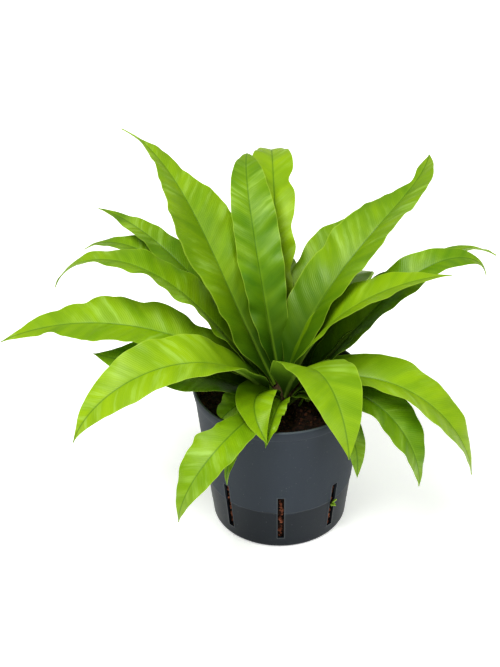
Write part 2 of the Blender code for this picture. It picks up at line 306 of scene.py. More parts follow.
def pot_paint():
    """Slate-grey moulded plastic. Its wall field holds the distance from the nearest slot and the height."""
    paint = Paint("pot_plastic", Specular_IOR_Level=0.22)
    from_slot, height, _ = paint.field("wall")
    wander = paint.noise(45, detail=4) * 9
    foot = (height + wander).ramp(41.2, 39.6)
    cloud = paint.noise(18, detail=4, roughness=0.6)
    streak = paint.noise(60, detail=3, stretch=(1, 1, 0.12))
    speck = paint.noise(700, detail=1).ramp(0.72, 0.8)

    wall = paint.mix(cloud * 0.6 + streak * 0.5, (0.023, 0.030, 0.040), (0.038, 0.049, 0.063))
    band = paint.mix(cloud, (0.008, 0.012, 0.017), (0.013, 0.018, 0.025))
    colour = paint.mix(foot, wall, band)
    colour = paint.mix(speck * 0.35, colour, (0.16, 0.17, 0.17))
    colour = paint.mix(from_slot.ramp(1.3, 0.15) * 0.4, colour, (0.11, 0.125, 0.13))
    # The top of the rim is painted lighter: a painted highlight along the rolled lip.
    rim = height.ramp(116.6, 117.6)
    colour = paint.mix(rim * 0.45, colour, (0.13, 0.15, 0.165))
    paint.colour(colour)
    paint.roughness(0.5 + cloud * 0.12 - foot * 0.16)
    grain = paint.noise(1500, detail=2)
    paint.bump(grain * 0.5 + cloud, 0.0002, 0.5)
    return paint.material


def soil_paint(name, dark, light, lump_scale):
    """Damp peat: dark, with browner lumps. Its tint field's first number sets each lump's own colour."""
    paint = Paint(name, Specular_IOR_Level=0.25)
    tint, _, _ = paint.field("tint")
    lumps = paint.noise(lump_scale, detail=5, roughness=0.65)
    share = (lumps.ramp(0.42, 0.66) * 0.6 + tint * 0.55).maths("MINIMUM", 1)
    paint.colour(paint.mix(share, dark, light))
    paint.roughness(0.82 + lumps * 0.15)
    paint.bump(lumps + paint.noise(2600, detail=3) * 0.5, 0.0009, 0.9)
    return paint.material


def scale_paint():
    """The crown's papery brown scales, paler towards their tips."""
    paint = Paint("crown_scales", Specular_IOR_Level=0.3)
    tint, along, _ = paint.field("tint")
    fibre = paint.noise(600, detail=3, stretch=(1, 1, 0.2))
    colour = paint.mix(tint * 0.6 + fibre * 0.4, (0.03, 0.017, 0.007), (0.13, 0.075, 0.03))
    colour = paint.mix(along.ramp(0.3, 1.0) * 0.5, colour, (0.16, 0.12, 0.045))
    paint.colour(colour)
    paint.roughness(0.7 + fibre * 0.15)
    paint.bump(fibre, 0.0004, 0.8)
    return paint.material


def floor_paint():
    paint = Paint("floor_white", Specular_IOR_Level=0.1, Emission_Strength=0.4)
    cloud = paint.noise(3, detail=2)
    paint.colour(paint.mix(cloud, (0.9, 0.9, 0.9), (0.92, 0.92, 0.92)))
    paint.roughness(0.9 + cloud * 0.05)
    paint.feed(paint.shader.inputs["Emission Color"], (1, 1, 1))
    return paint.material


# ---------------------------------------------------------------------------------------------------------
# Meshes from grids of points
# ---------------------------------------------------------------------------------------------------------


def face_outwards(shape):
    """Make the faces of each closed body agree, and turn a body round if its volume comes out negative."""
    bmesh.ops.recalc_face_normals(shape, faces=shape.faces)
    shape.normal_update()
    waiting = set(shape.faces)
    while waiting:
        body = [waiting.pop()]
        for face in body:
            touching = {other for edge in face.edges for other in edge.link_faces} & waiting
            waiting -= touching
            body.extend(touching)
        origin = body[0].calc_center_median()
        volume = sum((face.calc_center_median() - origin).dot(face.normal) * face.calc_area() for face in body)
        if volume < 0:
            bmesh.ops.reverse_faces(shape, faces=body)


def piece(name, points, faces, finish, slot, node=None, sharp=50, **fields):
    """One piece of the plant or pot, from points in millimetres, with its faces turned outwards."""
    mesh = bpy.data.meshes.new(name)
    mesh.from_pydata((np.asarray(points, float).reshape(-1, 3) * MM).tolist(), [], faces)
    shape = bmesh.new()
    shape.from_mesh(mesh)
    face_outwards(shape)
    shape.to_mesh(mesh)
    shape.free()
    for field, values in fields.items():
        attribute = mesh.attributes.new(field, "FLOAT_VECTOR", "POINT")
        attribute.data.foreach_set("vector", np.ascontiguousarray(values, np.float32).ravel())
    mesh.shade_smooth()
    mesh.set_sharp_from_angle(angle=math.radians(sharp))
    mesh.materials.append(finish)
    made = bpy.data.objects.new(name, mesh)
    bpy.context.scene.collection.objects.link(made)
    if node:
        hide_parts(node)
    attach(made, PLANT)
    return made


def grid_faces(rows, columns, closed):
    """Four-sided faces of a grid of points, whose last column may meet its first."""
    index = np.arange(rows * columns).reshape(rows, columns)
    if closed:
        index = np.concatenate([index, index[:, :1]], 1)
    return np.stack([index[:-1, :-1], index[:-1, 1:], index[1:, 1:], index[1:, :-1]], -1).reshape(-1, 4)


def sheet_solid(upper, lower):
    """A thin closed sheet from its two faces, grids of (..., rows, columns, 3). Several sheets may be stacked
    in front. Returns the points and the faces."""
    rows, columns = upper.shape[-3:-1]
    ring = 2 * columns
    points = np.concatenate([upper, lower[..., ::-1, :]], -2).reshape(-1, 3)
    around = grid_faces(rows, ring, True)
    j = np.arange(columns - 1)
    start = np.stack([j + 1, j, ring - 1 - j, ring - 2 - j], -1)
    end = np.stack([j, j + 1, ring - 2 - j, ring - 1 - j], -1) + (rows - 1) * ring
    faces = np.concatenate([around, start, end])
    copies = len(points) // (rows * ring)
    shift = np.arange(copies)[:, None, None] * rows * ring
    return points, (faces[None] + shift).reshape(-1, 4).tolist()


def sheet_field(upper, lower):
    """A field's values in the order of sheet_solid's points."""
    return np.concatenate([upper, lower[..., ::-1, :]], -2).reshape(-1, 3)


def capped(grid):
    """A closed skin from a grid whose columns go round, with a pole at each end. Several may be stacked."""
    rows, columns = grid.shape[-3:-1]
    each = rows * columns + 2
    poles = np.stack([grid[..., 0, :, :].mean(-2), grid[..., -1, :, :].mean(-2)], -2)
    body = grid.reshape(*grid.shape[:-3], rows * columns, 3)
    points = np.concatenate([body, poles], -2).reshape(-1, 3)
    quads = grid_faces(rows, columns, True).tolist()
    k = np.arange(columns)
    after = (k + 1) % columns
    first = np.stack([np.full(columns, each - 2), after, k], -1).tolist()
    base = (rows - 1) * columns
    last = np.stack([np.full(columns, each - 1), base + k, base + after], -1).tolist()
    faces = quads + first + last
    copies = len(points) // each
    if copies > 1:
        faces = [[corner + n * each for corner in face] for n in range(copies) for face in faces]
    return points, faces


def hills(x, y, wavelength, seed):
    """Soft random hills of about -1 to 1: the mean of nine sine waves that run in random directions."""
    rng = np.random.default_rng(seed)
    height = 0
    for heading, phase, stretch in rng.uniform((0, 0, 0.7), (2 * np.pi, 2 * np.pi, 1.5), (9, 3)):
        travelled = x * np.cos(heading) + y * np.sin(heading)
        height = height + np.sin(2 * np.pi * travelled / wavelength / stretch + phase)
    return height / 3


# ---------------------------------------------------------------------------------------------------------
# Fronds
# ---------------------------------------------------------------------------------------------------------

CROWN_X, CROWN_Y = 1, -8
ROWS = 120
COLUMNS = 33
LEAF_HALF = 0.2
RIB_BELOW = 1.3
RIB_REACH = 1.1
GROOVE = 0.22
STALK_HALF_WIDTH = 1.9
STALK_FLARE = 9
FLATTENING = 0.75
HOOK_POWER = 4
PLEATS = ((34, 1.0), (19, 0.7), (11, 0.35))

Frond = namedtuple(
    "Frond",
    "name ring azimuth length width climb turn roll fold peak taper neck wave waves pleat tint bulges",
)


def frond(name, ring, azimuth, length, width, climb, turn, roll, fold, peak=0.5, taper=1.2, neck=0.4,
          wave=1.4, waves=4, pleat=0.35, tint=0.5, bulges=()):
    """One frond's design.

    ring is where it leaves the crown: distance from the crown's axis, height and azimuth.
    climb is the midrib's angle above level at its base and at its tip, and how late it bends between them.
    turn is how far the midrib swings sideways by its tip, first by an even sway and then by a last hook.
    roll is the blade's lean about the midrib half way along, and how much more it twists by the tip.
    fold is the angle of each half of the blade at the base, and it flattens towards the tip.
    peak is where the blade is widest, taper how fast it narrows from there to the tip, and neck its width
    at the base as a share of the full width.
    wave is the height of the ripples along the margins and waves their number, pleat the height of the soft
    folds that follow the side veins. tint is 0 for the deepest green to 1 for the lightest; it is partly the
    frond's own green and partly painted light, lighter for a frond lit through from behind and deeper for one
    in another frond's shade. Each bulge is a local change of one margin: where along the blade, on which side
    (1 is the left when looking from base to tip), how far out, how far up, and over what share.
    """
    return Frond(name, ring, azimuth, length, width, climb, turn, roll, fold, peak, taper, neck,
                 wave, waves, pleat, tint, bulges)


# Each frond's tint is partly painted light: lighter where the frond is lit through from behind, deeper where
# another frond shades it.
FRONDS = (
    # Upright fronds in the middle.
    frond("frond_tall_left", (5.5, 119, 165), 153, 226, 62, (62, 8, 3.5), (-32, 25), (5, 20), 30,
          taper=2.1, wave=1.4, waves=3.2, pleat=0.8,
          bulges=((0.62, 1, 11, 0, 0.13), (0.86, -1, 4, 0, 0.06), (0.74, -1, -4, 0, 0.06),
                  (0.2, 1, 3, 0, 0.1)), tint=0.45),
    frond("frond_tall_centre", (4, 122, 110), 124, 192, 38, (70, -15, 2.5), (-38, 0), (0, 0), 30,
          peak=0.55, taper=0.8, wave=1.4, waves=4.5, pleat=0.8, bulges=((0.65, 1, -3, 0, 0.25),),
          tint=0.0),
    frond("frond_tall_back", (7, 117, 80), 95, 218, 40, (60, -45, 3), (-5, 0), (0, 0), 35, peak=0.6,
          taper=0.7, wave=1.8, waves=5.5, pleat=0.5,
          bulges=((0.45, -1, -6, 0, 0.25), (0.7, -1, -5, 0, 0.04), (0.53, -1, -2, 0, 0.03),
                  (0.45, -1, 2, 0, 0.03), (0.38, -1, -2, 0, 0.03)), tint=1.0),
    frond("frond_tall_right", (4.5, 121, 10), 33, 217, 54, (80, 8, 0.8), (0, 46), (-8, -15), 30,
          taper=1.0, wave=1.4, waves=3.5, pleat=0.7,
          bulges=((0.81, 1, -8, 0, 0.07), (0.87, 1, -5, 0, 0.05), (0.87, -1, 2, 0, 0.08)), tint=0.35),
    # Fronds that arch to the right.
    frond("frond_back_right", (9, 115, 50), 78, 166, 34, (60, -15, 2), (-45, 0), (0, 0), 35,
          bulges=((0.7, 1, 2, 0, 0.12),), tint=0.4),
    frond("frond_right_inner", (7, 117, -25), -10, 165, 44, (80, 4, 1), (12, 0), (0, -10), 30, wave=1.0,
          waves=3, tint=0.9),
    frond("frond_right_upper", (9, 115, 24), 24, 196, 40, (42, -40, 3.5), (0, -10), (-10, -10), 30,
          peak=0.6, wave=1.4, waves=4.5, bulges=((0.72, 1, -7, 0, 0.2),), tint=0.5),
    frond("frond_right_middle", (11, 112, 0), 8, 194, 36, (50, -80, 4.5), (10, 0), (10, 5), 30, wave=1.4,
          waves=4, tint=0.2),
    frond("frond_right_broad", (10, 113, -30), -18, 182, 48, (56, -82, 0.9), (0, 0), (0, 0), 30,
          wave=1.2, waves=3, bulges=((0.5, 1, -2, 0, 0.2),), tint=1.0),
    frond("frond_right_drooping", (12, 111, -50), -24, 150, 42, (60, -90, 0.9), (-16, 0), (0, 0), 30,
          wave=1.2, waves=4, tint=0.1),
    # Fronds that arch to the left.
    frond("frond_back_left", (8.5, 116, 130), 153, 195, 32, (52, -5, 2), (-12, 0), (0, 0), 30, wave=1.2,
          waves=5, tint=0.3),
    frond("frond_left_upper", (11, 112, 150), 155, 196, 34, (53, -42, 2.5), (-10, 10), (0, 0), 30,
          wave=1.4, waves=4.5, tint=0.4),
    frond("frond_left_middle", (8.5, 116, 175), 170, 213, 36, (54, -74, 3), (0, 0), (0, 10), 30,
          wave=1.8, waves=5, tint=0.45),
    frond("frond_left_broad", (10, 114, 195), 180, 215, 48, (58, -22, 0.8), (-10, 20), (-10, 5), 25,
          peak=0.55, wave=1.8, waves=4.5, pleat=0.7,
          bulges=((0.33, -1, -5, 0, 0.1), (0.82, 1, -3, 0, 0.07), (0.66, 1, 3, 0, 0.06)), tint=0.7),
    frond("frond_left_front", (10, 114, 218), 222, 202, 48, (56, -70, 1.5), (-25, 0), (-10, -15), 30,
          taper=1.3, wave=1.2, waves=4, bulges=((0.8, 1, 3, 0, 0.12),), tint=0.9),
    frond("frond_left_low", (12.5, 110.5, 178), 195, 135, 56, (35, 5, 1), (-10, -25), (-10, -5), 25,
          wave=1.2, waves=3, tint=0.1),
    # Fronds that fold over the front of the pot.
    frond("frond_front_right", (9, 115, -70), -60, 154, 50, (70, -75, 1.4), (-16, 0), (-10, 5), 20,
          wave=0.9, waves=3, tint=0.75),
    frond("frond_front_left", (12, 113, 246), 250, 144, 34, (24, -85, 1.5), (-42, 0), (-10, 10), 20,
          peak=0.6, neck=0.12, wave=0.9, waves=5, tint=0.5,
          bulges=((0.35, -1, -5, 0, 0.12), (0.5, -1, -3, 0, 0.035), (0.58, -1, 2, 0, 0.03))),
    frond("frond_front_small", (9, 115, 262), 210, 80, 30, (52, -45, 1), (100, 0), (0, 0), 30, peak=0.45,
          wave=0.7, waves=3, tint=1.0),
    frond("frond_front_low", (12.5, 111, 246), 242, 96, 14, (22, -100, 2), (0, 0), (0, 0), 10, wave=0.8,
          waves=4, tint=0.4),
    frond("frond_front_young", (12.5, 111, -80), -100, 66, 17, (56, -52, 1), (-10, 0), (5, 0), 35,
          wave=1.6, waves=5, tint=0.9),
    frond("frond_right_young", (12.5, 111, -64), -45, 110, 22, (60, -100, 1), (0, -50), (0, 0), 25,
          wave=0.8, waves=4, tint=0.2),
    frond("frond_left_young", (10.5, 112, 219), 219, 50, 30, (38, -25, 1), (5, 0), (10, 0), 30,
          taper=0.4, wave=1.8, waves=3, tint=0.7, bulges=((0.8, 1, 4, 0, 0.1), (0.62, 1, -3, 0, 0.06))),
    # Fronds low at the back.
    frond("frond_low_back_right", (12, 111, 48), 60, 185, 40, (50, -60, 1.2), (10, 0), (5, 5), 35,
          tint=0.4),
    frond("frond_low_back", (12, 111, 88), 92, 175, 42, (52, -65, 1.3), (5, 0), (-5, 0), 35, tint=0.3),
    frond("frond_low_back_left", (12, 111, 118), 124, 180, 40, (48, -55, 1.2), (-5, 0), (0, -5), 35,
          tint=0.4),
)


def climb_angle(design, s):
    """The midrib's angle above level: its bend from base to tip grows as s to the power of its lateness."""
    base, tip, late = design.climb
    return np.radians(base + (tip - base) * s**late)


def heading_angle(design, s):
    """The midrib's heading: the sway grows evenly along it, and the hook as s to the hook's power."""
    sway, hook = design.turn
    return np.radians(design.azimuth + sway * s + hook * s**HOOK_POWER)


def roll_angle(design, s):
    """The blade's roll about its midrib: the lean, less the twist at the base and plus it at the tip."""
    lean, twist = design.roll
    return np.radians(lean + twist * (2 * s - 1))


def fold_angle(design, s):
    """How far each half of the blade folds up: full at the base, less along a straight line to the tip."""
    return np.radians(design.fold * (1 - FLATTENING * s))


def strap(design, s):
    """Half width: a stalk that flares, then a quarter sine up to the peak and a rounded fall to the tip."""
    rise = design.neck + (1 - design.neck) * np.sin(np.pi / 2 * np.minimum(s / design.peak, 1))
    fall = (1 - np.clip((s - design.peak) / (1 - design.peak), 0, 1) ** 2) ** design.taper
    blade = design.width / 2 * np.maximum(rise * fall, 0.012)
    return np.minimum(blade, STALK_HALF_WIDTH + design.width / 2 * STALK_FLARE * s**1.5)


def midrib(design, s):
    """The midrib's path and the blade's own sideways and upward directions along it."""
    pitch = climb_angle(design, s)
    heading = heading_angle(design, s)
    ahead = np.stack([np.cos(pitch) * np.cos(heading), np.cos(pitch) * np.sin(heading), np.sin(pitch)], -1)
    steps = (ahead[1:] + ahead[:-1]) / 2 * design.length / (len(s) - 1)
    out, height, turn = design.ring
    turn = math.radians(turn)
    start = [CROWN_X + out * math.cos(turn), CROWN_Y + out * math.sin(turn), height]
    path = start + np.vstack([np.zeros(3), np.cumsum(steps, 0)])

    side = np.stack([-np.sin(heading), np.cos(heading), np.zeros_like(heading)], -1)
    up = np.cross(ahead, side)
    roll = roll_angle(design, s)[:, None]
    return path, side * np.cos(roll) + up * np.sin(roll), up * np.cos(roll) - side * np.sin(roll)


def blade(design, number, rows=ROWS, columns=COLUMNS):
    """A frond's blade as its upper and lower face and the fields of both.

    Across the midrib each half is an arc that starts at one and a half times the fold angle and ends at half
    of it. The margins ripple by two sines that grow with the distance from the midrib, the surface pleats
    by three sines that follow the side veins, and the lower face swells into a rib.
    """
    s = np.linspace(0, 1, rows)[:, None]
    even = np.linspace(-1, 1, columns)[None]
    v = np.sign(even) * np.abs(even) ** 1.35
    u = np.abs(v)
    left = v > 0

    path, side, up = midrib(design, s[:, 0])
    half = strap(design, s) * np.ones_like(v)
    lift = np.zeros_like(half)
    for at, which, out, rise, span in design.bulges:
        hill = np.exp(-(((s - at) / span) ** 2)) * (left == (which > 0))
        half = half + out * hill
        lift = lift + rise * hill * u**2

    cup = fold_angle(design, s)
    cup = np.where(np.abs(cup) < 0.01, 0.01, cup)
    sideways = (np.sin(1.5 * cup) - np.sin(1.5 * cup - cup * u)) / cup
    upwards = (np.cos(1.5 * cup - cup * u) - np.cos(1.5 * cup)) / cup
    calm = np.sin(np.pi * s) ** 0.8
    phase = 2.1 * number + np.where(left, 1.3, 0)
    ripple = np.sin(2 * np.pi * design.waves * s + phase)
    ripple = ripple + 0.45 * np.sin(2 * np.pi * design.waves * 2.3 * s + 1.7 * phase)
    lift = lift + design.wave * calm * u**2.2 * ripple
    offset = (half * sideways * np.sign(v))[..., None] * side[:, None]
    middle = path[:, None] + offset + (half * upwards + lift)[..., None] * up[:, None]

    normal = np.cross(np.gradient(middle, axis=0), np.gradient(middle, axis=1))
    normal = normal / np.maximum(np.linalg.norm(normal, axis=-1, keepdims=True), 1e-9)
    normal = normal * np.sign((normal * up[:, None]).sum(-1).mean())

    along = s * design.length * np.ones_like(v)
    across = v * half
    slant = along - np.abs(across) * VEIN_SLANT
    pleat = 0
    for spacing, share in PLEATS:
        start = 2.6 * number + np.where(left, 0, spacing)
        pleat = pleat + share * np.sin(2 * np.pi * slant / spacing + start)
    pleat = pleat * design.pleat * calm * u**0.7
    thin = LEAF_HALF * (1 - 0.5 * u**6)
    groove = GROOVE * np.exp(-((across / 0.8) ** 2)) * (1 - s)
    rib = RIB_BELOW * (1 - 0.75 * s) * np.exp(-((across / RIB_REACH) ** 2))
    upper = middle + normal * (pleat + thin - groove)[..., None]
    lower = middle + normal * (pleat - thin - rib)[..., None]

    tint = np.full_like(along, design.tint)
    leaf = np.stack([s * np.ones_like(v), u * np.ones_like(s), tint], -1)
    veins = [np.stack([along, across, np.full_like(along, face)], -1) for face in (1, -1)]
    return upper, lower, leaf, veins


def add_frond(design, number, finish, slot="frond_leaf"):
    upper, lower, leaf, veins = blade(design, number)
    points, faces = sheet_solid(upper, lower)
    piece(design.name + "_blade", points, faces, finish, slot, node=design.name,
          leaf=sheet_field(leaf, leaf), vein=sheet_field(*veins))


# ---------------------------------------------------------------------------------------------------------
# Crown, croziers and the sprout
# ---------------------------------------------------------------------------------------------------------

SOIL_HEIGHT = 108
CROWN_SIDE = ((9.5, 108), (9.6, 110), (8.6, 112), (6.6, 114.5), (4.4, 118), (2.6, 120.6), (1.2, 121.8))
SCALE_COUNT = 110
CROZIER_STEM = 9
CROZIER_TURN = 2.6
CROZIER_LEAN = 25
CROZIER_THICKNESS = 1.05
# The sprout's leaves: turn, length, width and climb of each.
SPROUT_LEAVES = ((-30, 6, 3.2, 40), (25, 7, 3.6, 65), (0, 4.5, 2.6, 15))


def add_crown(finish):
    """A lumpy cone of revolution, clad in overlapping pointed scales."""
    profile = np.array(CROWN_SIDE, float)
    turns = np.linspace(0, 2 * np.pi, 36, endpoint=False)
    lumpy = 1 + 0.05 * np.sin(5 * turns)[None] * np.cos(profile[:, 1:] / 2)
    skin = np.stack([
        CROWN_X + profile[:, :1] * lumpy * np.cos(turns),
        CROWN_Y + profile[:, :1] * lumpy * np.sin(turns),
        profile[:, 1:] * np.ones_like(turns),
    ], -1)
    points, faces = capped(skin)
    tint = np.tile([0.2, 0.1, 0], (len(points), 1))
    piece("crown_core", points, faces, finish, "crown_scales", node="crown", tint=tint)

    # Each scale lies on the cone with its foot down, and its tip stands a little off it.
    rng = np.random.default_rng(4)
    climb = rng.uniform(0.05, 0.92, SCALE_COUNT)[:, None, None]
    turn = rng.uniform(0, 2 * np.pi, SCALE_COUNT)[:, None, None]
    length = rng.uniform(3, 5.5, SCALE_COUNT)[:, None, None]
    s = np.linspace(0, 1, 5)[None, :, None]
    v = np.linspace(-1, 1, 4)[None, None, :]
    steps = np.linspace(0, 1, len(profile))
    radius = np.interp(climb, steps, profile[:, 0]) + 0.15 + 1.3 * s**2 * length / 4
    height = np.interp(climb, steps, profile[:, 1]) + s * length * 0.8
    radius = radius - s * length * 0.35
    width = length * 0.22 * (1 - s**1.6) + 0.05
    angle = turn + v * width / np.maximum(radius, 1.5)
    radius = radius - 0.15 * v**2
    faces_of = []
    for lift in (0.09, -0.09):
        reach = np.maximum(radius + lift, 0.4)
        faces_of.append(np.stack([
            CROWN_X + reach * np.cos(angle), CROWN_Y + reach * np.sin(angle), height * np.ones_like(angle)
        ], -1))
    points, faces = sheet_solid(*faces_of)
    own = rng.uniform(0, 1, SCALE_COUNT)[:, None, None] * np.ones_like(angle)
    tint = np.stack([own, s * np.ones_like(angle), np.zeros_like(angle)], -1)
    piece("crown_scales", points, faces, finish, "crown_scales", tint=sheet_field(tint, tint))


def crozier_path(start, azimuth):
    """A leaning stem that ends in a flat spiral whose radius shrinks with the turn."""
    lean = math.radians(CROZIER_LEAN)
    heading = math.radians(azimuth)
    out = np.array([math.cos(heading), math.sin(heading), 0])
    rise = np.array([0, 0, 1])
    along = math.sin(lean) * out + math.cos(lean) * rise
    stem = np.linspace(0, CROZIER_STEM, 8)[:-1, None] * along
    turn = np.linspace(0, 2.3 * np.pi, 44)[:, None]
    radius = CROZIER_TURN * (1 - 0.3 * turn / np.pi)
    centre = CROZIER_STEM * along + CROZIER_TURN * (math.cos(lean) * out - math.sin(lean) * rise)
    curl = centre + radius * (np.sin(turn + lean) * rise - np.cos(turn + lean) * out)
    return np.array(start) + np.vstack([stem, curl]), np.cross(out, rise)


def add_crozier(name, start, azimuth, finish):
    """A round stem along the crozier's path, thinner towards the middle of the roll, with two ridges."""
    path, across = crozier_path(start, azimuth)
    ahead = np.gradient(path, axis=0)
    ahead /= np.linalg.norm(ahead, axis=1, keepdims=True)
    level = np.cross(ahead, across)
    s = np.linspace(0, 1, len(path))[:, None]
    turns = np.linspace(0, 2 * np.pi, 20, endpoint=False)
    radius = CROZIER_THICKNESS * (1 - 0.55 * s) * (1 + 0.14 * np.cos(2 * turns))
    ring = np.cos(turns)[None, :, None] * across + np.sin(turns)[None, :, None] * level[:, None]
    points, faces = capped(path[:, None] + radius[..., None] * ring)
    length = np.concatenate([np.repeat(s[:, 0], len(turns)), [0, 1]])
    count = len(points)
    leaf = np.stack([0.3 + 0.5 * length, np.full(count, 0.5), np.full(count, 0.6)], -1)
    vein = np.stack([length * 25, np.full(count, 5.0), np.ones(count)], -1)
    piece(name + "_roll", points, faces, finish, "young_leaf", node=name, leaf=leaf, vein=vein)


def add_sprout(finish):
    """Three small leaves that have come out of a slot and turn up towards the light."""
    low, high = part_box("slot_seedling")
    foot = np.array([(low[k] + high[k]) / 2 for k in range(3)]) / MM
    foot[2] = low[2] / MM
    azimuth = math.degrees(math.atan2(foot[1], foot[0]))
    uppers, lowers, leaves, upper_veins, lower_veins = [], [], [], [], []
    for number, (turn, length, width, climb) in enumerate(SPROUT_LEAVES):
        out = np.hypot(foot[0] - CROWN_X, foot[1] - CROWN_Y) - 1.2
        ring_turn = math.degrees(math.atan2(foot[1] - CROWN_Y, foot[0] - CROWN_X))
        design = frond("sprout", (out, foot[2] + 0.4 * number, ring_turn), azimuth + turn, length, width,
                       (climb, climb - 30, 2), (0, 0), (0, 0), 25,
                       wave=0.15, waves=2, pleat=0.0)
        upper, lower, leaf, veins = blade(design, number, rows=20, columns=13)
        uppers.append(upper)
        lowers.append(lower)
        leaves.append(leaf)
        upper_veins.append(veins[0])
        lower_veins.append(veins[1])
    points, faces = sheet_solid(np.stack(uppers), np.stack(lowers))
    leaves = np.stack(leaves)
    piece("slot_sprout", points, faces, finish, "young_leaf", node="slot_seedling",
          leaf=sheet_field(leaves, leaves), vein=sheet_field(np.stack(upper_veins), np.stack(lower_veins)))


# ---------------------------------------------------------------------------------------------------------
# Pot
# ---------------------------------------------------------------------------------------------------------

POT_HEIGHT = 118
POT_TOP_RADIUS = 64.3
POT_FOOT_RADIUS = 51
POT_WALL = 1.5
POT_FLOOR = 2
FOOT_ROUND = 2.5
FOOT_BAND_HEIGHT = 36
FOOT_BAND_INSET = 0.4
COLLAR_HEIGHT = 8.5
COLLAR_PROUD = 0.7
SLOT_COUNT = 8
SLOT_WIDTH = 4.8
SLOT_BOTTOM = 10
SLOT_TOP = 52
SLOT_LIP = 0.35
LIP_REACH = 0.9
FRONT = -90
FAR_COLUMNS = 12


def wall_radius(height):
    """The pot's outer radius between the foot and the collar."""
    return POT_FOOT_RADIUS + (POT_TOP_RADIUS - POT_FOOT_RADIUS) * height / POT_HEIGHT


def outer_radius(height):
    """The outer wall with its foot band, which is set in by a soft step."""
    step = 1 / (1 + np.exp((height - FOOT_BAND_HEIGHT) * 6))
    return wall_radius(height) - FOOT_BAND_INSET * step


def slot_offsets():
    """Distances in millimetres from a slot's middle, of the columns of points beside it."""
    edge = SLOT_WIDTH / 2
    near = np.array([edge / 3, edge, edge + 0.5, edge + 1.1, edge + 2.2])
    return np.concatenate([-near[::-1], near])


def column_angles(radius):
    """Angles of the pot's columns at each radius: beside a slot they keep their distance from its middle,
    and between slots they are spaced evenly."""
    near = slot_offsets()
    sector = 2 * np.pi / SLOT_COUNT
    radius = np.maximum(radius, POT_FOOT_RADIUS * 0.8)[:, None]
    beside = near[None] / radius
    share = np.arange(1, FAR_COLUMNS + 1) / (FAR_COLUMNS + 1)
    between = beside[:, -1:] + share * (sector - 2 * beside[:, -1:])
    one = np.concatenate([beside, between], 1)
    turns = math.radians(FRONT) + np.arange(SLOT_COUNT)[:, None, None] * sector
    return np.concatenate(list(turns + one), 1)


